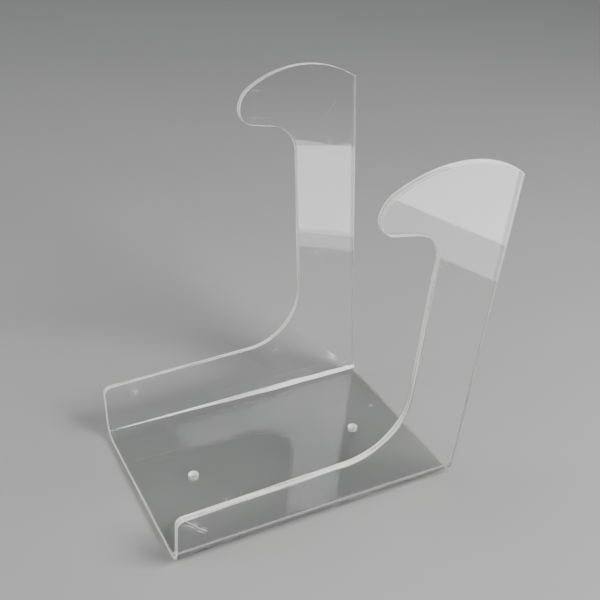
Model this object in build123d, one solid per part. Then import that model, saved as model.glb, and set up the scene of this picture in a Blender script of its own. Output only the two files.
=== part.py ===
from build123d import *
from math import acos, cos, degrees, radians, sin
import os

# Magazine rack bent from one sheet of clear acrylic. The sheet is cut to
# shape and drilled while it is flat, and its two long sides are then folded
# up over a hot line, so base, bends and side panels are one piece.
#
# Millimetres, +Z up. The origin is the centre of the underside. The low, open
# front is at -Y, and the two posts with their forward hooks stand at +Y.

# The sheet and its two bends
SHEET = 4.76             # thickness of the sheet
BASE_WIDTH = 140.0       # across the underside, between the corner lines of the bends
BASE_DEPTH = 200.0       # front edge to rear edge
BEND_RADIUS = 9.0        # inside radius of each bend
LEAN = 6.0               # each side panel leans outward from the vertical, degrees

# The upper edge of a side panel. Heights run up the panel's outer face from
# the corner line of its bend, and depths run back from the front edge.
FRONT_HEIGHT = 40.0      # low part of the panel, at the front edge
FRONT_RISE = 1.6         # slope of the low edge towards the post, degrees
FRONT_CORNER_RADIUS = 5.0
POST_DEPTH = 46.5        # front edge of the post to the rear edge
POST_FOOT_RADIUS = 42.5  # hollow curve from the low edge up into the post
THROAT_HEIGHT = 187.0    # where the post's straight front edge ends
THROAT_RADIUS = 22.0     # hollow curve from the post into the hook's underside
UNDERSIDE_TILT = 9.3     # the hook's underside climbs forward, degrees
UNDERSIDE_LENGTH = 14.6  # its straight stretch
TIP_RADIUS = 11.4        # lower front of the hook
TIP_TURN = 87.7          # degrees
BROW_RADIUS = 17.4       # upper front of the hook
BROW_TURN = 50.2         # degrees
CROWN_RADIUS = 74.0      # long arc over the top, down to the sharp rear corner

# The two holes drilled through the base on its centreline
HOLE_DIAMETER = 6.35
HOLE_INSET = 38.0        # hole centre to the nearer end edge of the base

# How far the cutting shapes run past the sheet
CUT_MARGIN = 10.0


def outer_corner(side):
    """Plane of a panel's outer face: X back along the bend, Y up the panel, Z outward."""
    lean = radians(LEAN)
    return Plane(
        origin=(side * BASE_WIDTH / 2, -BASE_DEPTH / 2, 0),
        x_dir=(0, 1, 0),
        z_dir=(cos(lean), 0, -side * sin(lean)),
    )


def panel_edge():
    """The upper edge of a side panel, front to back, as lines and arcs that run on smoothly."""
    low_edge = radians(FRONT_RISE)
    post_front = BASE_DEPTH - POST_DEPTH

    front_corner = JernArc(
        (0, FRONT_HEIGHT - FRONT_CORNER_RADIUS), (0, 1), FRONT_CORNER_RADIUS, FRONT_RISE - 90
    )
    foot_start = post_front - POST_FOOT_RADIUS * (1 - sin(low_edge))
    low_run = (foot_start - (front_corner @ 1).X) / cos(low_edge)
    low_line = PolarLine(front_corner @ 1, low_run, FRONT_RISE)
    foot = JernArc(low_line @ 1, low_line % 1, POST_FOOT_RADIUS, 90 - FRONT_RISE)
    post = Line(foot @ 1, (post_front, THROAT_HEIGHT))
    throat = JernArc(post @ 1, post % 1, THROAT_RADIUS, 90 - UNDERSIDE_TILT)
    underside = PolarLine(throat @ 1, UNDERSIDE_LENGTH, 180 - UNDERSIDE_TILT)
    tip = JernArc(underside @ 1, underside % 1, TIP_RADIUS, -TIP_TURN)
    brow = JernArc(tip @ 1, tip % 1, BROW_RADIUS, -BROW_TURN)

    # The crown leaves the brow at this heading and stops at the rear edge
    heading = 180 - UNDERSIDE_TILT - TIP_TURN - BROW_TURN
    crown_centre = (brow @ 1).X + CROWN_RADIUS * sin(radians(heading))
    rear_angle = degrees(acos((BASE_DEPTH - crown_centre) / CROWN_RADIUS))
    crown = JernArc(brow @ 1, brow % 1, CROWN_RADIUS, rear_angle - 90 - heading)

    return [front_corner, low_line, foot, post, throat, underside, tip, brow, crown]


def offcut(edge):
    """What is sawn away above a panel's upper edge, as a face in the panel's plane."""
    start = edge[0] @ 0
    end = edge[-1] @ 1
    top = blank_height(edge) + CUT_MARGIN
    rest = Polyline(
        end,
        (BASE_DEPTH + CUT_MARGIN, end.Y),
        (BASE_DEPTH + CUT_MARGIN, top),
        (-CUT_MARGIN, top),
        (-CUT_MARGIN, start.Y),
        start,
    )
    return make_face([line.edge() for line in edge] + list(rest.edges()))


def blank_height(edge):
    """How far up the panel the blank reaches before its upper edge is cut."""
    return max(line.bounding_box().max.Y for line in edge) + CUT_MARGIN


def bent_blank(edge):
    """The sheet as a plain trough: its section across the bends, carried from front to back."""
    lean = radians(LEAN)
    reach = blank_height(edge)
    top_x = BASE_WIDTH / 2 + reach * sin(lean)
    top_z = reach * cos(lean)
    corners = [(-top_x, top_z), (-BASE_WIDTH / 2, 0), (BASE_WIDTH / 2, 0), (top_x, top_z)]
    outside = FilletPolyline(*corners, radius=BEND_RADIUS + SHEET)
    section = make_face(offset(outside, amount=SHEET, side=Side.LEFT))
    across = Plane(origin=(0, -BASE_DEPTH / 2, 0), x_dir=(1, 0, 0), z_dir=(0, -1, 0))
    return extrude(across * section, amount=-BASE_DEPTH)


def bent_acrylic_sheet():
    """The whole rack: the bent blank, less the offcuts of both panels and the two holes."""
    edge = panel_edge()
    sheet = bent_blank(edge)
    for side in (-1, 1):
        sheet -= extrude(outer_corner(side) * offcut(edge), amount=SHEET + CUT_MARGIN, both=True)
    hole_y = BASE_DEPTH / 2 - HOLE_INSET
    for y in (-hole_y, hole_y):
        sheet -= Pos(0, y, SHEET / 2) * Cylinder(HOLE_DIAMETER / 2, SHEET + CUT_MARGIN)
    return sheet


os.makedirs("parts", exist_ok=True)
export_step(bent_acrylic_sheet(), "parts/bent_acrylic_sheet.step")
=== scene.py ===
from math import acos, cos, pi, radians, sin, tan
from typing import NamedTuple

import bpy
import numpy as np
from mathutils import Matrix, Vector


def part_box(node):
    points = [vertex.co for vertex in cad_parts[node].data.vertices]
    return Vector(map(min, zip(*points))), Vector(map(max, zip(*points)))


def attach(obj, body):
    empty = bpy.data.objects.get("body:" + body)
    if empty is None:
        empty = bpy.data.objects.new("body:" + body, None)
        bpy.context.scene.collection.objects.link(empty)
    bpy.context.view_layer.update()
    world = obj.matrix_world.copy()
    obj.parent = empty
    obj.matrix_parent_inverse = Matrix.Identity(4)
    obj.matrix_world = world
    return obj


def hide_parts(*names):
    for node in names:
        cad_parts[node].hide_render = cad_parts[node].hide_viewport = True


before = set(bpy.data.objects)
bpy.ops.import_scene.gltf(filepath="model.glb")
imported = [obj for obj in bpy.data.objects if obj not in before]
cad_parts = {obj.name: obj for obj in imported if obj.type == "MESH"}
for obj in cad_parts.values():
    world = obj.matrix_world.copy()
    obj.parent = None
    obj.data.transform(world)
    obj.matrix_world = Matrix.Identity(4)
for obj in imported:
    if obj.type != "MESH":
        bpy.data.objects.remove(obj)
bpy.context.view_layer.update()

bl_info = {
    "name": "Bent acrylic magazine rack",
    "version": (1, 0, 0),
    "blender": (4, 5, 0),
    "location": "View3D > Sidebar > Rack",
    "description": "Makes a clear rack from one drilled and bent sheet, with its sawn edges and studio",
    "category": "Add Mesh",
}

NODE = "bent_acrylic_sheet"
MM = 0.001

SHEET_LOW, SHEET_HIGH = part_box(NODE)
SHEET_DEPTH = SHEET_HIGH.y - SHEET_LOW.y

# How many straight steps each curve is cut into
PANEL_STEPS = {"corner": 10, "foot": 32, "throat": 22, "tip": 22, "brow": 16, "crown": 48, "peak": 6}
BEND_STEPS = 28
ROUND_STEPS = 3
HOLE_STEPS = 64

# The order of the piece's materials
POLISHED, SAWN, DRILLED = range(3)


# ---------------------------------------------------------------- settings


class RackSheet(bpy.types.PropertyGroup):
    """The sheet, its two bends and the drilled holes."""

    thickness: bpy.props.FloatProperty(
        name="Thickness", description="Thickness of the sheet", default=4.76 * MM, unit="LENGTH"
    )
    base_width: bpy.props.FloatProperty(
        name="Base width",
        description="Across the underside, between the corner lines of the bends",
        default=140 * MM,
        unit="LENGTH",
    )
    depth: bpy.props.FloatProperty(
        name="Depth", description="Front edge to rear edge", default=SHEET_DEPTH, unit="LENGTH"
    )
    bend_radius: bpy.props.FloatProperty(
        name="Bend radius", description="Inside radius of each bend", default=9 * MM, unit="LENGTH"
    )
    lean: bpy.props.FloatProperty(
        name="Lean",
        description="How far each side panel leans outward",
        default=radians(6),
        subtype="ANGLE",
    )
    edge_break: bpy.props.FloatProperty(
        name="Edge break",
        description="Radius scraped along every cut edge",
        default=0.3 * MM,
        unit="LENGTH",
    )
    hole_radius: bpy.props.FloatProperty(
        name="Hole radius", description="Radius of both holes", default=3.175 * MM, unit="LENGTH"
    )
    hole_inset: bpy.props.FloatProperty(
        name="Hole inset",
        description="Hole centre to the nearer end edge of the base",
        default=38 * MM,
        unit="LENGTH",
    )


class RackPanel(bpy.types.PropertyGroup):
    """The upper edge of a side panel. Heights run up the panel from the corner line of its bend."""

    front_height: bpy.props.FloatProperty(
        name="Front height", description="Low part, at the front", default=40 * MM, unit="LENGTH"
    )
    front_rise: bpy.props.FloatProperty(
        name="Front rise",
        description="Slope of the low edge towards the post",
        default=radians(1.6),
        subtype="ANGLE",
    )
    front_corner: bpy.props.FloatProperty(
        name="Front corner", description="Radius of the front corner", default=5 * MM, unit="LENGTH"
    )
    post_depth: bpy.props.FloatProperty(
        name="Post depth", description="Front of the post to the rear", default=46.5 * MM, unit="LENGTH"
    )
    foot_radius: bpy.props.FloatProperty(
        name="Foot radius", description="Hollow up into the post", default=42.5 * MM, unit="LENGTH"
    )
    throat_height: bpy.props.FloatProperty(
        name="Throat height",
        description="Where the post's straight front ends",
        default=187 * MM,
        unit="LENGTH",
    )
    throat_radius: bpy.props.FloatProperty(
        name="Throat radius", description="Hollow under the hook", default=22 * MM, unit="LENGTH"
    )
    underside_tilt: bpy.props.FloatProperty(
        name="Underside tilt",
        description="How the hook's underside climbs forward",
        default=radians(9.3),
        subtype="ANGLE",
    )
    underside_length: bpy.props.FloatProperty(
        name="Underside length", description="Its straight part", default=14.6 * MM, unit="LENGTH"
    )
    tip_radius: bpy.props.FloatProperty(
        name="Tip radius", description="Lower front of the hook", default=11.4 * MM, unit="LENGTH"
    )
    tip_turn: bpy.props.FloatProperty(
        name="Tip turn", description="Angle round the tip", default=radians(87.7), subtype="ANGLE"
    )
    brow_radius: bpy.props.FloatProperty(
        name="Brow radius", description="Upper front of the hook", default=17.4 * MM, unit="LENGTH"
    )
    brow_turn: bpy.props.FloatProperty(
        name="Brow turn", description="Angle round the brow", default=radians(50.2), subtype="ANGLE"
    )
    crown_radius: bpy.props.FloatProperty(
        name="Crown radius", description="Long arc over the top", default=74 * MM, unit="LENGTH"
    )
    peak_radius: bpy.props.FloatProperty(
        name="Peak radius",
        description="Slight rounding of the sharp rear corner",
        default=0.6 * MM,
        unit="LENGTH",
    )


class RackFinish(bpy.types.PropertyGroup):
    """Colours and surface of the acrylic."""

    clear_tint: bpy.props.FloatVectorProperty(
        name="Clear tint",
        description="Colour that the polished faces let through",
        subtype="COLOR",
        size=3,
        default=(0.985, 0.992, 0.985),
    )
    edge_tint: bpy.props.FloatVectorProperty(
        name="Edge tint",
        description="Colour of the sawn and scraped edges",
        subtype="COLOR",
        size=3,
        default=(0.985, 0.985, 0.945),
    )
    bore_tint: bpy.props.FloatVectorProperty(
        name="Bore tint",
        description="Colour of the frosted drilled walls",
        subtype="COLOR",
        size=3,
        default=(0.98, 0.98, 0.95),
    )
    rubbed_tint: bpy.props.FloatVectorProperty(
        name="Rubbed tint",
        description="Colour of the rubbed patches, the hairlines and the dust",
        subtype="COLOR",
        size=3,
        default=(0.93, 0.93, 0.91),
    )
    edge_shade: bpy.props.FloatVectorProperty(
        name="Edge shade",
        description="Colour of the duller stretches and the chips of the sawn edges",
        subtype="COLOR",
        size=3,
        default=(0.62, 0.63, 0.58),
    )
    bore_shade: bpy.props.FloatVectorProperty(
        name="Bore shade",
        description="Colour of the rings in the drilled walls",
        subtype="COLOR",
        size=3,
        default=(0.78, 0.78, 0.75),
    )
    # Painted light: the two fringe colours stand for the colours that light splits into at a cut edge
    painted_green_fringe: bpy.props.FloatVectorProperty(
        name="Green fringe",
        description="One end of the colours that light splits into at a cut edge",
        subtype="COLOR",
        size=3,
        default=(0.86, 1.0, 0.88),
    )
    painted_amber_fringe: bpy.props.FloatVectorProperty(
        name="Amber fringe",
        description="The other end of those colours",
        subtype="COLOR",
        size=3,
        default=(1.0, 0.84, 0.66),
    )
    ior: bpy.props.FloatProperty(
        name="Refraction", description="Index of refraction of acrylic", default=1.49
    )
    wave_height: bpy.props.FloatProperty(
        name="Wave height",
        description="Height of the slow wave in the polished faces",
        default=0.35 * MM,
        unit="LENGTH",
    )
    mark_depth: bpy.props.FloatProperty(
        name="Mark depth",
        description="Depth of the marks left by the saw and the drill",
        default=0.1 * MM,
        unit="LENGTH",
    )


class RackStudio(bpy.types.PropertyGroup):
    """The floor, lights and camera."""

    floor_colour: bpy.props.FloatVectorProperty(
        name="Floor colour",
        description="Plain pale floor",
        subtype="COLOR",
        size=3,
        default=(0.275, 0.275, 0.27),
    )
    floor_radius: bpy.props.FloatProperty(
        name="Floor radius", description="Radius of the round floor", default=2.4, unit="LENGTH"
    )
    air_colour: bpy.props.FloatVectorProperty(
        name="Air colour",
        description="Colour of the even light from all round",
        subtype="COLOR",
        size=3,
        default=(0.9, 0.95, 1.0),
    )
    air_light: bpy.props.FloatProperty(
        name="Air light", description="Strength of the even light from all round", default=0.23
    )
    azimuth: bpy.props.FloatProperty(
        name="Azimuth",
        description="Camera's way round the rack, from in front",
        default=radians(61.863),
        subtype="ANGLE",
    )
    elevation: bpy.props.FloatProperty(
        name="Elevation",
        description="Camera above the horizon",
        default=radians(30.553),
        subtype="ANGLE",
    )
    roll: bpy.props.FloatProperty(
        name="Roll",
        description="Camera's turn about its line of sight",
        default=radians(2.214),
        subtype="ANGLE",
    )
    distance: bpy.props.FloatProperty(
        name="Distance", description="Camera to its aim", default=0.6058, unit="LENGTH"
    )
    lens: bpy.props.FloatProperty(
        name="Lens", description="Focal length, in millimetres", default=56.26
    )
    aim: bpy.props.FloatVectorProperty(
        name="Aim",
        description="Point in the middle of the view",
        subtype="XYZ",
        size=3,
        default=(-0.0007, 0.0149, 0.1229),
    )


# ---------------------------------------------------------------- outline


def arc(start, heading, radius, turn, steps):
    """Points and headings along an arc. It leaves start along heading and turns left by turn, or right
    if turn is negative: a point is the centre plus the radius times the way square to its heading."""
    angles = heading + turn * np.linspace(0, 1, steps + 1)
    signed = radius * np.sign(turn)
    centre = np.array(start) + signed * np.array([-sin(heading), cos(heading)])
    points = centre + signed * np.stack([np.sin(angles), -np.cos(angles)], axis=1)
    return points, angles


def panel_outline(sheet, panel):
    """The upper edge of a side panel from the front edge to the rear edge: arcs that meet tangentially
    or are joined by straight lines along their headings. Returns the depth and height of each point,
    and the edge's outward normal there."""
    quarter = pi / 2
    rise = panel.front_rise
    steps = PANEL_STEPS
    post_front = sheet.depth - panel.post_depth

    corner_start = (0, panel.front_height - panel.front_corner)
    corner = arc(corner_start, quarter, panel.front_corner, rise - quarter, steps["corner"])
    low_end = corner[0][-1]
    foot_depth = post_front - panel.foot_radius * (1 - sin(rise))
    foot_height = low_end[1] + (foot_depth - low_end[0]) * tan(rise)
    foot = arc((foot_depth, foot_height), rise, panel.foot_radius, quarter - rise, steps["foot"])
    throat_start = (post_front, panel.throat_height)
    throat_turn = quarter - panel.underside_tilt
    throat = arc(throat_start, quarter, panel.throat_radius, throat_turn, steps["throat"])

    heading = pi - panel.underside_tilt
    underside = panel.underside_length * np.array([cos(heading), sin(heading)])
    tip = arc(throat[0][-1] + underside, heading, panel.tip_radius, -panel.tip_turn, steps["tip"])
    heading -= panel.tip_turn
    brow = arc(tip[0][-1], heading, panel.brow_radius, -panel.brow_turn, steps["brow"])
    heading -= panel.brow_turn

    # The crown stops where the small rounding of the peak can touch both it and the rear edge
    crown_centre = brow[0][-1][0] + panel.crown_radius * sin(heading)
    room = panel.crown_radius - panel.peak_radius
    peak_heading = acos((sheet.depth - panel.peak_radius - crown_centre) / room) - quarter
    crown = arc(brow[0][-1], heading, panel.crown_radius, peak_heading - heading, steps["crown"])
    peak = arc(crown[0][-1], peak_heading, panel.peak_radius, -quarter - peak_heading, steps["peak"])

    # The last three start at the end of the arc before them, which already gives that point
    carried_on = [(points[1:], headings[1:]) for points, headings in (brow, crown, peak)]
    points, headings = (np.concatenate(part) for part in zip(corner, foot, throat, tip, *carried_on))
    return points, np.stack([-np.sin(headings), np.cos(headings)], axis=1)


# ---------------------------------------------------------------- the bent sheet


class Bend:
    """How the flat sheet folds up. A place on the flat sheet is (across, along, through): across runs
    from the centreline over the outer face, along runs from front to back, and through runs from the
    outer face to the inner one."""

    def __init__(self, sheet):
        self.turn = pi / 2 - sheet.lean
        self.outer = sheet.bend_radius + sheet.thickness
        self.corner = self.outer * tan(self.turn / 2)
        self.start = sheet.base_width / 2 - self.corner
        self.end = self.start + self.outer * self.turn

    def angle(self, across):
        """Nothing on the base, then the distance into the bend over its outer radius."""
        return np.clip((np.abs(across) - self.start) / self.outer, 0, self.turn)

    def place(self, across, along, through):
        """The base runs flat to the bend, the bend is an arc whose radius falls by the distance through
        the sheet, and the panel runs straight on from it."""
        angle = self.angle(across)
        up = np.maximum(np.abs(across) - self.end, 0)
        radius = self.outer - through
        x = np.minimum(np.abs(across), self.start) + radius * np.sin(angle) + up * np.cos(angle)
        z = self.outer - radius * np.cos(angle) + up * np.sin(angle)
        return np.stack([np.sign(across) * x, along + 0 * x, z], axis=-1)

    def across_way(self, across):
        """The unit vector that across follows at each place."""
        angle = self.angle(across)
        side = np.where(across < 0, -1, 1)
        return np.stack([np.cos(angle), 0 * angle, side * np.sin(angle)], axis=-1)

    def outward_way(self, across):
        """The unit normal of the outer face at each place."""
        angle = self.angle(across)
        side = np.where(across < 0, -1, 1)
        return np.stack([side * np.sin(angle), 0 * angle, -np.cos(angle)], axis=-1)


def sheet_outline(sheet, panel, bend):
    """The sheet's closed outline while it is flat, anticlockwise from the middle of the front edge. The
    right half is the front edge, the right panel's edge and the rear edge, and the left half mirrors it.
    Returns place and outward normal of each point, and how many points the right half has."""
    edge, edge_normal = panel_outline(sheet, panel)
    in_bend = bend.start + (bend.end - bend.start) * np.linspace(0, 1, BEND_STEPS + 1)
    across = np.concatenate([[0], in_bend, bend.end + edge[:, 1] - bend.corner, in_bend[::-1], [0]])
    half_depth = sheet.depth / 2
    ends = np.full(len(in_bend) + 1, half_depth)
    along = np.concatenate([-ends, edge[:, 0] - half_depth, ends])
    still = np.zeros(len(in_bend) + 1)
    normal_across = np.concatenate([still, edge_normal[:, 1], still])
    normal_along = np.concatenate([still - 1, edge_normal[:, 0], still + 1])

    right = np.stack([across, along, normal_across, normal_along], axis=1)
    left = right[-2:0:-1] * np.array([-1, 1, -1, 1])
    return np.concatenate([right, left]), len(right)


def edge_profile(sheet):
    """The section of a cut edge, from the outer face to the inner one: a quarter round, the flat cut and
    a second quarter round. Columns are the inset from the outline, the distance through the sheet, and
    the shares of the outline's normal and of the outer face's normal."""
    turn = pi / 2 * np.linspace(0, 1, ROUND_STEPS + 1)
    out_share, face_share = np.sin(turn), np.cos(turn)
    inset, through = sheet.edge_break * (1 - out_share), sheet.edge_break * (1 - face_share)
    outer_round = np.stack([inset, through, out_share, face_share], axis=1)
    inner_round = outer_round[::-1] * np.array([1, -1, 1, -1]) + np.array([0, sheet.thickness, 0, 0])
    middle = np.array([[0, sheet.thickness / 2, 1, 0]])
    return np.concatenate([outer_round, middle, inner_round])


class Wall(NamedTuple):
    """A closed wall of the sheet. Its vertices are numbered in rows, one for each step from the outer
    face to the inner one."""

    points: np.ndarray
    shading: np.ndarray
    flat: np.ndarray
    faces: np.ndarray
    rows: np.ndarray


def carried_wall(bend, places, normals, profile, first):
    """A closed outline carried along the profile. Each point is the outline moved back along its own
    normal by the inset, at the profile's distance through the sheet, and then folded."""
    inset, through, out_share, face_share = (column[:, None] for column in profile.T)
    across = places[:, 0] - inset * normals[:, 0]
    along = places[:, 1] - inset * normals[:, 1]
    through = through + 0 * across
    points = bend.place(across, along, through)
    sideways = normals[:, 0, None] * bend.across_way(across)
    sideways[..., 1] += normals[:, 1]
    shading = out_share[..., None] * sideways + face_share[..., None] * bend.outward_way(across)

    rows, columns = across.shape
    index = first + np.arange(rows * columns).reshape(rows, columns)
    beside = np.roll(index, -1, axis=1)
    faces = np.stack([index[:-1], beside[:-1], beside[1:], index[1:]], axis=-1).reshape(-1, 4)
    flat = np.stack([across, along, through], axis=-1)
    return Wall(points.reshape(-1, 3), shading.reshape(-1, 3), flat.reshape(-1, 3), faces, index)


def hole_circle(sheet, along):
    """A hole's rim, clockwise from its rearmost point, with normals that point into the hole."""
    angle = pi / 2 - 2 * pi * np.arange(HOLE_STEPS) / HOLE_STEPS
    way = np.stack([np.cos(angle), np.sin(angle)], axis=1)
    return sheet.hole_radius * way + np.array([0, along]), -way


def run_along(places):
    """Distance along the outline from the middle of the front edge, the same for both halves."""
    right = np.abs(places[:, 0])
    step = np.hypot(np.diff(right, append=right[:1]), np.diff(places[:, 1], append=places[:1, 1]))
    forward = np.concatenate([[0], np.cumsum(step)[:-1]])
    return np.minimum(forward, step.sum() - forward)


def sheet_mesh(sheet, panel):
    """One closed shell: the cut edges, the two hole walls, and the polished faces outside and inside.
    Returns each vertex's place, normal, flat place and run along the edge, and each face's vertices
    and material."""
    bend = Bend(sheet)
    outline, right_count = sheet_outline(sheet, panel, bend)
    profile = edge_profile(sheet)
    walls = [carried_wall(bend, outline[:, :2], outline[:, 2:], profile, 0)]
    runs = [np.tile(run_along(outline[:, :2]), len(profile))]
    hole_along = sheet.depth / 2 - sheet.hole_inset
    for along in (-hole_along, hole_along):
        first = sum(len(wall.points) for wall in walls)
        walls.append(carried_wall(bend, *hole_circle(sheet, along), profile, first))
        runs.append(np.zeros(len(walls[-1].points)))

    points = np.concatenate([wall.points for wall in walls])
    shading = np.concatenate([wall.shading for wall in walls])
    flat = np.concatenate([wall.flat for wall in walls])
    faces = [face for wall in walls for face in wall.faces.tolist()]
    finish = [SAWN] * len(walls[0].faces) + [DRILLED] * (len(faces) - len(walls[0].faces))

    outer_loops = polished_faces([wall.rows[0] for wall in walls], right_count)
    inner_loops = polished_faces([wall.rows[-1] for wall in walls], right_count)
    faces += [loop[::-1].tolist() for loop in outer_loops]
    faces += [loop.tolist() for loop in inner_loops]
    finish += [POLISHED] * (len(outer_loops) + len(inner_loops))
    return points, shading, flat, np.concatenate(runs), faces, finish


def polished_faces(around, right_count):
    """The loops of one polished face, anticlockwise on the flat sheet: both panels, the strips round
    both bends, and the base's two halves, which meet on the centreline and pass the holes on either
    side. around is the vertices of the outline, the front hole and the rear hole on this face."""
    edge, front_hole, rear_hole = around
    right = edge[:right_count]
    left = np.concatenate([edge[:1], edge[: right_count - 2 : -1]])
    front = np.arange(1, BEND_STEPS + 2)
    rear = right_count - 1 - front

    loops = [right[front[-1] : rear[-1] + 1], left[front[-1] : rear[-1] + 1][::-1]]
    for strip in zip(front[:-1], front[1:], rear[1:], rear[:-1]):
        loops.append(right[list(strip)])
        loops.append(left[list(strip[::-1])])

    half = HOLE_STEPS // 2
    front_hole, rear_hole = (np.append(hole, hole[0]) for hole in (front_hole, rear_hole))
    right_base = right[[0, front[0], rear[0], -1]]
    left_base = left[[-1, rear[0], front[0], 0]]
    loops.append(np.concatenate([right_base, rear_hole[: half + 1], front_hole[: half + 1]]))
    loops.append(np.concatenate([left_base, front_hole[half:], rear_hole[half:]]))
    return loops


# ---------------------------------------------------------------- shader building


class Wire:
    """An output socket that arithmetic works on. Each operation adds a Math node."""

    def __init__(self, tree, socket):
        self.tree, self.socket = tree, socket

    def maths(self, operation, *others, clamp=False):
        inputs = dict(enumerate((self, *others)))
        return self.tree.node("ShaderNodeMath", {"operation": operation, "use_clamp": clamp}, inputs)

    def __add__(self, other):
        return self.maths("ADD", other)

    def __sub__(self, other):
        return self.maths("SUBTRACT", other)

    def __rsub__(self, other):
        return self.maths("MULTIPLY_ADD", -1.0, other)

    def __mul__(self, other):
        return self.maths("MULTIPLY", other)

    __radd__, __rmul__ = __add__, __mul__

    def over(self, low, high):
        """0 below low, 1 above high and a smooth step between. low may be the larger."""
        settings = {"interpolation_type": "SMOOTHSTEP"}
        inputs = {"Value": self, "From Min": low, "From Max": high}
        return self.tree.node("ShaderNodeMapRange", settings, inputs, "Result")

    def larger(self, other):
        return self.maths("MAXIMUM", other)

    def absolute(self):
        return self.maths("ABSOLUTE")

    def clamped(self):
        return self.maths("ADD", 0.0, clamp=True)


class Tree:
    """The nodes of one material, emptied and ready to fill."""

    def __init__(self, name):
        self.material = bpy.data.materials.new(name)
        self.material.use_nodes = True
        self.tree = self.material.node_tree
        self.tree.nodes.clear()

    def node(self, kind, settings=None, inputs=None, output=0):
        """Adds a node: its settings first, then values or links for its sockets. Returns one output."""
        made = self.tree.nodes.new(kind)
        for name, value in (settings or {}).items():
            setattr(made, name, value)
        for name, value in (inputs or {}).items():
            if isinstance(value, Wire):
                self.tree.links.new(value.socket, made.inputs[name])
            else:
                made.inputs[name].default_value = value
        return Wire(self, made.outputs[output])

    def attribute(self, name, output="Vector"):
        return self.node("ShaderNodeAttribute", {"attribute_name": name}, output=output)

    def solid_place(self):
        """The piece's own place, in metres."""
        return self.node("ShaderNodeTexCoord", output="Object")

    def axis(self, where, name):
        return self.node("ShaderNodeSeparateXYZ", {}, {0: where}, name)

    def vector(self, operation, *values, output=0):
        inputs = dict(enumerate(values))
        return self.node("ShaderNodeVectorMath", {"operation": operation}, inputs, output)

    def turned(self, where, turn):
        inputs = {"Vector": where, "Rotation": (0, 0, -turn)}
        return self.node("ShaderNodeMapping", {"vector_type": "POINT"}, inputs)

    def noise(self, where, rate, detail=2.0, roughness=0.5):
        """Noise that varies about rate times in a metre. Three rates, one for each axis, draw it out."""
        if isinstance(rate, tuple):
            where, rate = self.vector("MULTIPLY", where, rate), 1.0
        inputs = {"Vector": where, "Scale": rate, "Detail": detail, "Roughness": roughness}
        return self.node("ShaderNodeTexNoise", {}, inputs, "Fac")

    def specks(self, where, rate, bare, full):
        """Round specks, about rate of them in a metre: full near each centre, and bare at the stated
        share of the way to the next."""
        inputs = {"Vector": where, "Scale": rate}
        return self.node("ShaderNodeTexVoronoi", {}, inputs, "Distance").over(bare, full)

    def mix_colour(self, share, first, second):
        inputs = {0: share, 6: first, 7: second}
        return self.node("ShaderNodeMix", {"data_type": "RGBA"}, inputs, 2)

    def bump(self, height, distance):
        return self.node("ShaderNodeBump", {}, {"Height": height, "Distance": distance})

    def surface(self, inputs):
        return self.node("ShaderNodeBsdfPrincipled", {}, inputs, "BSDF")

    def mix_surface(self, share, first, second):
        return self.node("ShaderNodeMixShader", {}, {0: share.clamped(), 1: first, 2: second})

    def done(self, surface):
        output = self.tree.nodes.new("ShaderNodeOutputMaterial")
        self.tree.links.new(surface.socket, output.inputs["Surface"])
        return self.material


def colour(rgb):
    """The same colour with full alpha, as a node's socket takes it."""
    return (*rgb, 1.0)


# ---------------------------------------------------------------- polished faces

# Rates of the patterns, in repeats for each metre of the flat sheet: across, along and through it
WAVE_RATE = 9.0
PULL_RATE = (70.0, 11.0, 20.0)
WIPE_RATE = (26.0, 9.0, 9.0)
DUST_RATE = 330.0
DUST_DRIFT_RATE = 21.0
RAGGED_RATE = 260.0
DOT_RATE = 900.0
STREAK_RATE = (60.0, 1000.0, 60.0)
HAZE_RATE = 700.0

# Hairlines: the way each family runs in degrees, how many in a metre, and how strong they are. The
# rate is how often one varies in a metre of its own length
HAIRLINES = ((24, 900.0, 1.0), (-38, 1100.0, 1.0), (81, 1000.0, 0.7))
HAIRLINE_RATE = 14.0

# The wave on the base, and what a panel adds to it. Then the height of the pull marks in a bend and of
# a hairline's groove, all as shares of the wave's height
BASE_WAVE = 0.25
PANEL_WAVE = 0.75
PULL_HEIGHT = 0.06
GROOVE_HEIGHT = -0.02

# The heat for bending reached this far into the base and this far up the panel, and was full this far
# into the bend. The panel's own wave is full this far past the bend
HEAT_REACH_BASE = 6 * MM
HEAT_REACH_PANEL = 8 * MM
HEAT_FULL = 2 * MM
PANEL_FADE = 10 * MM

# Roughness of the bare face, and what each mark adds to it
BARE_ROUGHNESS = 0.006
WIPED_ROUGHNESS = 0.03
HAIRLINE_ROUGHNESS = 0.14
SCUFF_ROUGHNESS = 0.3

# How much of each mark is dull instead of clear, and what the dull part is like
SCUFF_COVER = 0.7
DUST_COVER = 0.7
HAIRLINE_COVER = 0.03
DULL_ROUGHNESS = 0.75
DULL_TRANSMISSION = 0.35

# Rubbed patches: middle across and along the flat sheet, radius, the way their scratches run, what
# fills them, and the face they are on, in millimetres and degrees
SCUFFS = (
    (-97.5, -78.5, 4.2, 40, "dots", "inner"),
    (101.0, -91.5, 6.5, 136, "streaks", "outer"),
    (94.0, -85.5, 5.5, 136, "streaks", "outer"),
    (-86.0, 80.0, 6.0, 49, "streaks", "inner"),
    (-103.5, 32.7, 1.6, 10, "dots", "inner"),
    (-16.0, 87.0, 4.0, 75, "dots", "inner"),
    (32.0, -52.0, 3.5, 20, "dots", "inner"),
    (280.0, 80.0, 7.0, 165, "haze", "outer"),
)
# How much distance from a patch's middle counts along its way and across it, so that streaks are long
SCUFF_STRETCH = {"dots": (1, 1, 0), "streaks": (0.6, 1.4, 0), "haze": (1, 1, 0)}
# The share of its radius inside which a patch is full, and how ragged noise makes that radius
SCUFF_CORE = 0.2
RAGGED_LEAST = 0.55
RAGGED_SPREAD = 0.9
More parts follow.
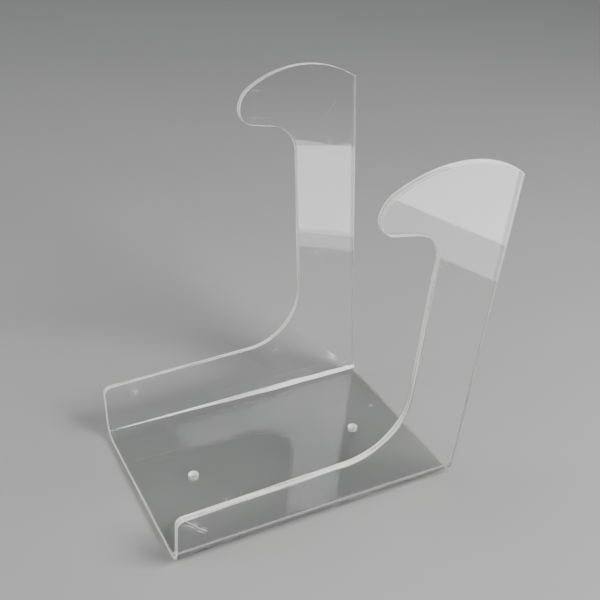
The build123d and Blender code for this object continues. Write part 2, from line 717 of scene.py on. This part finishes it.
# How rubbed the ground between the marks is, what a mark adds, and how strong haze is
THINLY_RUBBED = 0.08
DEEPLY_RUBBED = 0.9
HAZED = 0.35


def dots(tree, place):
    """Small pits, close together, on a thinly rubbed ground."""
    return tree.specks(place, DOT_RATE, 0.58, 0.32) * DEEPLY_RUBBED + THINLY_RUBBED


def streaks(tree, place):
    """Short scratches side by side, on a thinly rubbed ground."""
    return tree.noise(place, STREAK_RATE, 1.0).over(0.46, 0.60) * DEEPLY_RUBBED + THINLY_RUBBED


def haze(tree, place):
    """A faint cloud."""
    return tree.noise(place, HAZE_RATE, 3.0, 0.6).over(0.42, 0.75) * HAZED


SCUFF_FILLS = {"dots": dots, "streaks": streaks, "haze": haze}


def scuff_mask(tree, flat, sheet):
    """How rubbed the surface is: inside each patch, the distance from its middle, made ragged by noise,
    fades the scratches, dots or haze that fill it. The outer face is nothing through the sheet, and the
    inner face is all of its thickness through it."""
    inner = tree.axis(flat, "Z").over(0.45 * sheet.thickness, 0.55 * sheet.thickness)
    face = {"inner": inner, "outer": 1 - inner}
    ragged = RAGGED_LEAST + tree.noise(flat, RAGGED_RATE, 2.0, 0.6) * RAGGED_SPREAD
    total = None
    for across, along, radius, turn, kind, side in SCUFFS:
        place = tree.vector("SUBTRACT", flat, (across * MM, along * MM, 0))
        place = tree.turned(place, radians(turn))
        stretched = tree.vector("MULTIPLY", place, SCUFF_STRETCH[kind])
        reach = tree.vector("LENGTH", stretched, output="Value") * ragged
        edge = reach.over(radius * MM, radius * MM * SCUFF_CORE)
        patch = edge * SCUFF_FILLS[kind](tree, place) * face[side]
        total = patch if total is None else total.larger(patch)
    return total


def hairlines(tree, flat):
    """Fine scratches: noise drawn out along each family's way, kept only where it peaks."""
    total = None
    for turn, count, strength in HAIRLINES:
        drawn = tree.noise(tree.turned(flat, radians(turn)), (HAIRLINE_RATE, count, HAIRLINE_RATE), 1.0)
        family = drawn.over(0.70, 0.78) * strength
        total = family if total is None else total.larger(family)
    return total


def polished_acrylic(finish, sheet):
    """Clear cast acrylic: a slow wave, slighter on the base than on the panels, more uneven where it was
    heated to bend, with wiped haze, hairlines, dust and the rubbed patches."""
    tree = Tree("polished_acrylic")
    bend = Bend(sheet)
    flat = tree.attribute("flat_place")
    across = tree.axis(flat, "X").absolute()
    on_panel = across.over(bend.start, bend.end + PANEL_FADE)
    into_bend = across.over(bend.start - HEAT_REACH_BASE, bend.start + HEAT_FULL)
    heated = into_bend * across.over(bend.end + HEAT_REACH_PANEL, bend.end)

    wave = tree.noise(flat, WAVE_RATE, 1.0) * (BASE_WAVE + on_panel * PANEL_WAVE)
    pull = tree.noise(flat, PULL_RATE, 1.0) * heated
    lines = hairlines(tree, flat)
    wiped = tree.noise(flat, WIPE_RATE, 4.0, 0.6).over(0.45, 0.8)
    drift = tree.noise(flat, DUST_DRIFT_RATE).over(0.48, 0.6)
    dust = tree.specks(flat, DUST_RATE, 0.075, 0.03) * drift
    scuffs = scuff_mask(tree, flat, sheet)

    height = wave + pull * PULL_HEIGHT + lines * GROOVE_HEIGHT
    roughness = BARE_ROUGHNESS + wiped * WIPED_ROUGHNESS + lines * HAIRLINE_ROUGHNESS
    clear = tree.surface(
        {
            "Base Color": colour(finish.clear_tint),
            "Roughness": roughness + scuffs * SCUFF_ROUGHNESS,
            "IOR": finish.ior,
            "Transmission Weight": 1.0,
            "Normal": tree.bump(height, finish.wave_height),
        }
    )
    rubbed = tree.surface(
        {
            "Base Color": colour(finish.rubbed_tint),
            "Roughness": DULL_ROUGHNESS,
            "IOR": finish.ior,
            "Transmission Weight": DULL_TRANSMISSION,
        }
    )
    cover = (scuffs * SCUFF_COVER).larger(dust * DUST_COVER).larger(lines * HAIRLINE_COVER)
    return tree.done(tree.mix_surface(cover, clear, rubbed))


# ---------------------------------------------------------------- sawn edges and drilled walls

# Rates of the marks, in repeats for each metre along the cut edge and through the sheet
RIPPLE_RATE = (620.0, 60.0, 1.0)
FINE_SCRAPE_RATE = (22.0, 1500.0, 1.0)
BROAD_SCRAPE_RATE = (16.0, 520.0, 1.0)
STRETCH_RATE = (19.0, 1.0, 1.0)
# The painted colour fringe, which stands for light split into colours at the cut edge
PAINTED_FRINGE_RATE = (30.0, 230.0, 1.0)

# Rates of the marks that don't follow the edge
MOTTLE_RATE = 150.0
CHIP_RATE = 420.0
CHIP_DRIFT_RATE = 60.0
BORE_RING_RATE = (40.0, 40.0, 2600.0)
BORE_MOTTLE_RATE = 700.0

# Where the scraped round starts to show and where it is full, in edge breaks in from the face
ROUND_START = 1.3
ROUND_FULL = 0.8

# How much of the cut edge is frosted: everywhere, and what each kind of mark adds
FROST = 0.60
STREAK_FROST = 0.30
STRETCH_FROST = 0.10
ROUND_FROST = -0.45

# How much each scrape counts in the streaks
BROAD_SHARE = 0.55
FINE_SHARE = 0.3
RIPPLE_SHARE = 0.15

# How much of the frost is shaded: everywhere, and what each mark adds. How much the painted fringe shows
SHADE = 0.4
STREAK_SHADE = -0.4
CHIP_SHADE = 0.3
FROSTED_PAINTED_FRINGE = 0.2
CLEAR_PAINTED_FRINGE = 0.5

# Heights of the marks, as shares of the mark depth
RIPPLE_HEIGHT = 0.35
FINE_HEIGHT = 0.3
MOTTLE_HEIGHT = 0.2
CHIP_HEIGHT = -0.8
BORE_RING_HEIGHT = 0.6
BORE_MOTTLE_HEIGHT = 0.4

# Roughness and how much light passes. On the scraped rounds the roughness falls by the stated share
FROSTED_ROUGHNESS = 0.36
FROSTED_STREAK_ROUGHNESS = 0.14
FROSTED_ROUND_POLISH = 0.4
FROSTED_TRANSMISSION = 0.25
CUT_ROUGHNESS = 0.20
CUT_STREAK_ROUGHNESS = 0.12
CUT_MOTTLE_ROUGHNESS = 0.08
CUT_ROUND_POLISH = 0.55
BORE_ROUGHNESS = 0.35
BORE_MOTTLE_ROUGHNESS = 0.25
BORE_TRANSMISSION = 0.05
BORE_RING_SHADE = 0.2


def sawn_edge(finish, sheet):
    """The cut edge: part frost and part clear, so that it gathers light from inside the sheet. Streaks
    scraped along it and ripples left by the saw across it share out the frost, and the scraped rounds at
    both sides stay glossier. Both parts carry a painted fringe of the colours that light splits into."""
    tree = Tree("sawn_acrylic_edge")
    run = tree.attribute("edge_run", "Fac")
    through = tree.axis(tree.attribute("flat_place"), "Z")
    along = tree.node("ShaderNodeCombineXYZ", {}, {"X": run, "Y": through})
    solid = tree.solid_place()

    ripple = tree.noise(along, RIPPLE_RATE, 2.0, 0.6)
    fine = tree.noise(along, FINE_SCRAPE_RATE, 2.0, 0.6)
    broad = tree.noise(along, BROAD_SCRAPE_RATE, 2.0, 0.55)
    stretch = tree.noise(along, STRETCH_RATE, 2.0, 0.6).over(0.35, 0.65)
    mottle = tree.noise(solid, MOTTLE_RATE, 3.0, 0.6)
    drift = tree.noise(solid, CHIP_DRIFT_RATE).over(0.52, 0.64)
    chips = tree.specks(solid, CHIP_RATE, 0.14, 0.07) * drift
    streaked = (broad * BROAD_SHARE + fine * FINE_SHARE + ripple * RIPPLE_SHARE).over(0.42, 0.56)

    middle = 0.5 * sheet.thickness
    from_middle = (through - middle).absolute()
    on_round = from_middle.over(
        middle - ROUND_START * sheet.edge_break, middle - ROUND_FULL * sheet.edge_break
    )
    frost = FROST + streaked * STREAK_FROST + stretch * STRETCH_FROST + on_round * ROUND_FROST

    # Painted light: a fringe of the colours that light splits into, painted into both parts of the
    # edge's colour
    split = tree.noise(along, PAINTED_FRINGE_RATE, 1.0).over(0.42, 0.60)
    fringe = tree.mix_colour(split, colour(finish.painted_green_fringe), colour(finish.painted_amber_fringe))
    white = tree.mix_colour(FROSTED_PAINTED_FRINGE, colour(finish.edge_tint), fringe)
    shade = SHADE + streaked * STREAK_SHADE + chips * CHIP_SHADE
    white = tree.mix_colour(shade, white, colour(finish.edge_shade))
    clear_tint = tree.mix_colour(CLEAR_PAINTED_FRINGE, colour(finish.clear_tint), fringe)

    height = ripple * RIPPLE_HEIGHT + fine * FINE_HEIGHT + mottle * MOTTLE_HEIGHT + chips * CHIP_HEIGHT
    normal = tree.bump(height, finish.mark_depth)
    frosted_roughness = FROSTED_ROUGHNESS + streaked * FROSTED_STREAK_ROUGHNESS
    cut_roughness = CUT_ROUGHNESS + streaked * CUT_STREAK_ROUGHNESS + mottle * CUT_MOTTLE_ROUGHNESS
    frosted = tree.surface(
        {
            "Base Color": white,
            "Roughness": frosted_roughness * (1 - on_round * FROSTED_ROUND_POLISH),
            "IOR": finish.ior,
            "Transmission Weight": FROSTED_TRANSMISSION,
            "Normal": normal,
        }
    )
    clear = tree.surface(
        {
            "Base Color": clear_tint,
            "Roughness": cut_roughness * (1 - on_round * CUT_ROUND_POLISH),
            "IOR": finish.ior,
            "Transmission Weight": 1.0,
            "Normal": normal,
        }
    )
    return tree.done(tree.mix_surface(frost, clear, frosted))


def drilled_bore(finish):
    """The wall of a drilled hole: white frost with fine rings left by the drill."""
    tree = Tree("drilled_acrylic_bore")
    solid = tree.solid_place()
    rings = tree.noise(solid, BORE_RING_RATE)
    mottle = tree.noise(solid, BORE_MOTTLE_RATE, 3.0)
    ringed = rings.over(0.35, 0.65) * BORE_RING_SHADE
    height = rings * BORE_RING_HEIGHT + mottle * BORE_MOTTLE_HEIGHT
    surface = tree.surface(
        {
            "Base Color": tree.mix_colour(ringed, colour(finish.bore_tint), colour(finish.bore_shade)),
            "Roughness": BORE_ROUGHNESS + mottle * BORE_MOTTLE_ROUGHNESS,
            "IOR": finish.ior,
            "Transmission Weight": BORE_TRANSMISSION,
            "Normal": tree.bump(height, finish.mark_depth),
        }
    )
    return tree.done(surface)


# ---------------------------------------------------------------- the piece


def make_object(name, points, faces, materials, finish=None, normals=None):
    """A smooth mesh object at the origin, with each face's material and each vertex's normal where they
    are given."""
    mesh = bpy.data.meshes.new(name)
    mesh.from_pydata(np.asarray(points).tolist(), [], faces)
    for material in materials:
        mesh.materials.append(material)
    if finish is not None:
        mesh.polygons.foreach_set("material_index", finish)
    mesh.polygons.foreach_set("use_smooth", np.ones(len(faces), bool))
    mesh.update()
    if normals is not None:
        mesh.normals_split_custom_set_from_vertices(np.asarray(normals).tolist())
    made = bpy.data.objects.new(name, mesh)
    bpy.context.scene.collection.objects.link(made)
    return made


def add_attribute(mesh, name, kind, values):
    """Stores one value or vector for each vertex."""
    attribute = mesh.attributes.new(name, kind, "POINT")
    field = "vector" if kind == "FLOAT_VECTOR" else "value"
    attribute.data.foreach_set(field, np.asarray(values, np.float32).ravel())


class RACK_OT_bent_sheet(bpy.types.Operator):
    """Make the rack's one piece: the cut, drilled and bent acrylic sheet"""

    bl_idname = "rack.bent_sheet"
    bl_label = "Bent acrylic sheet"

    def execute(self, context):
        scene = context.scene
        sheet, panel, finish = scene.rack_sheet, scene.rack_panel, scene.rack_finish
        points, shading, flat, run, faces, which = sheet_mesh(sheet, panel)
        materials = [polished_acrylic(finish, sheet), sawn_edge(finish, sheet), drilled_bore(finish)]
        piece = make_object("clear_bent_sheet", points, faces, materials, which, shading)
        add_attribute(piece.data, "flat_place", "FLOAT_VECTOR", flat)
        add_attribute(piece.data, "edge_run", "FLOAT", run)
        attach(piece, "root")
        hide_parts(NODE)
        return {"FINISHED"}


# ---------------------------------------------------------------- studio

FLOOR_SIDES = 180
FLOOR_DROP = 0.3 * MM
FLOOR_TONE_RATE = 3.0
FLOOR_GRAIN_RATE = 900.0
FLOOR_GRAIN_HEIGHT = 0.04 * MM
FLOOR_UNEVENNESS = 0.03
FLOOR_ROUGHNESS = 0.62
FLOOR_TONE_ROUGHNESS = 0.1
FLOOR_SHEEN = 0.25

# Softboxes that all look at one point: name, place, width and height, turn in degrees, and watts
LIGHT_AIM = (0, 0, 0.12)
SOFTBOXES = (
    ("key_softbox", (0.772, 0.579, 0.948), (0.76, 0.604), 28, 33),
    ("top_softbox", (-0.2, -3.0, 5.0), (8.0, 8.0), 0, 230),
    ("front_strip", (-0.25, -1.3, 0.35), (0.9, 0.35), 0, 12),
)
# Panels that lie behind the rack at the floor's level, for the posts and hooks to mirror: name,
# distance from the rack's middle, width and length, and watts
LOW_PANEL_WAY = radians(55.2)
LOW_PANELS = (
    ("low_panel", 0.6575, (0.515, 1.2), 14),
    ("low_strip", 0.372, (0.055, 1.2), 0.55),
)

SENSOR_WIDTH = 36
NEAREST_SEEN = 0.01


def pale_floor(studio):
    """A plain pale painted board, with the faintest unevenness in tone and sheen."""
    tree = Tree("pale_floor")
    solid = tree.solid_place()
    tone = tree.noise(solid, FLOOR_TONE_RATE, 4.0, 0.55)
    grain = tree.noise(solid, FLOOR_GRAIN_RATE)
    darker = tuple((1 - FLOOR_UNEVENNESS) * part for part in studio.floor_colour)
    base = tree.mix_colour(tone.over(0.3, 0.7), colour(darker), colour(studio.floor_colour))
    surface = tree.surface(
        {
            "Base Color": base,
            "Roughness": FLOOR_ROUGHNESS + tone * FLOOR_TONE_ROUGHNESS,
            "Specular IOR Level": FLOOR_SHEEN,
            "Normal": tree.bump(grain, FLOOR_GRAIN_HEIGHT),
        }
    )
    return tree.done(surface)


def add_floor(studio):
    """A disc just below the rack: each point of its rim is the radius times the way to it."""
    turn = 2 * pi * np.arange(FLOOR_SIDES) / FLOOR_SIDES
    rim = studio.floor_radius * np.stack([np.cos(turn), np.sin(turn), 0 * turn], axis=1)
    rim[:, 2] = -FLOOR_DROP
    floor = make_object("floor", rim, [list(range(FLOOR_SIDES))], [pale_floor(studio)])


def aimed(origin, target):
    """A matrix at origin whose -Z looks at target."""
    look = (Vector(target) - Vector(origin)).to_track_quat("-Z", "Y")
    return Matrix.Translation(origin) @ look.to_matrix().to_4x4()


def laid_face_up(distance):
    """A matrix at distance from the middle along the low panels' way, with +X along it and -Z up."""
    out = Matrix.Rotation(LOW_PANEL_WAY, 4, "Z") @ Matrix.Translation((distance, 0, 0))
    return out @ Matrix.Rotation(pi, 4, "X")


def add_light(name, place, size, power):
    """A rectangular area light that the camera never sees directly."""
    light = bpy.data.lights.new(name, "AREA")
    light.shape = "RECTANGLE"
    light.size, light.size_y = size
    light.energy = power
    made = bpy.data.objects.new(name, light)
    made.matrix_world = place
    made.visible_camera = False
    bpy.context.scene.collection.objects.link(made)


def add_lights(studio):
    """The softboxes, the low panels and the even light of the air."""
    for name, origin, size, turn, power in SOFTBOXES:
        place = aimed(origin, LIGHT_AIM) @ Matrix.Rotation(radians(turn), 4, "Z")
        add_light(name, place, size, power)
    for name, distance, size, power in LOW_PANELS:
        add_light(name, laid_face_up(distance), size, power)
    world = bpy.data.worlds.new("studio_air")
    world.use_nodes = True
    background = world.node_tree.nodes["Background"]
    background.inputs["Color"].default_value = colour(studio.air_colour)
    background.inputs["Strength"].default_value = studio.air_light
    bpy.context.scene.world = world


def add_camera(studio):
    """Looks at its aim from the stated azimuth, elevation and distance, rolled about its own axis."""
    level = cos(studio.elevation)
    back = Vector((sin(studio.azimuth) * level, -cos(studio.azimuth) * level, sin(studio.elevation)))
    origin = Vector(studio.aim) + studio.distance * back
    data = bpy.data.cameras.new("Camera")
    data.sensor_width = SENSOR_WIDTH
    data.lens = studio.lens
    data.clip_start = NEAREST_SEEN
    made = bpy.data.objects.new("Camera", data)
    made.matrix_world = aimed(origin, studio.aim) @ Matrix.Rotation(studio.roll, 4, "Z")
    bpy.context.scene.collection.objects.link(made)
    bpy.context.scene.camera = made


class RACK_OT_studio(bpy.types.Operator):
    """Make the pale floor, the soft lights and the camera"""

    bl_idname = "rack.studio"
    bl_label = "Studio"

    def execute(self, context):
        studio = context.scene.rack_studio
        add_floor(studio)
        add_lights(studio)
        add_camera(studio)
        return {"FINISHED"}


# ---------------------------------------------------------------- add-on


class RACK_PT_panel(bpy.types.Panel):
    """The rack's steps and sizes, in the sidebar."""

    bl_idname = "RACK_PT_panel"
    bl_label = "Bent acrylic rack"
    bl_space_type = "VIEW_3D"
    bl_region_type = "UI"
    bl_category = "Rack"

    def draw(self, context):
        layout = self.layout
        for operator in OPERATORS:
            layout.operator(operator.bl_idname)
        for group in GROUPS:
            settings = getattr(context.scene, group)
            box = layout.box()
            for name in settings.__annotations__:
                box.prop(settings, name)


GROUPS = {
    "rack_sheet": RackSheet,
    "rack_panel": RackPanel,
    "rack_finish": RackFinish,
    "rack_studio": RackStudio,
}
OPERATORS = (RACK_OT_bent_sheet, RACK_OT_studio)


def register():
    for group in GROUPS.values():
        bpy.utils.register_class(group)
    for name, group in GROUPS.items():
        setattr(bpy.types.Scene, name, bpy.props.PointerProperty(type=group))
    for item in (*OPERATORS, RACK_PT_panel):
        bpy.utils.register_class(item)


def unregister():
    for item in (RACK_PT_panel, *reversed(OPERATORS)):
        bpy.utils.unregister_class(item)
    for name in GROUPS:
        delattr(bpy.types.Scene, name)
    for group in reversed(GROUPS.values()):
        bpy.utils.unregister_class(group)


def main():
    """Makes everything in order."""
    register()
    bpy.ops.rack.bent_sheet()
    bpy.ops.rack.studio()


if __name__ == "__main__":
    main()
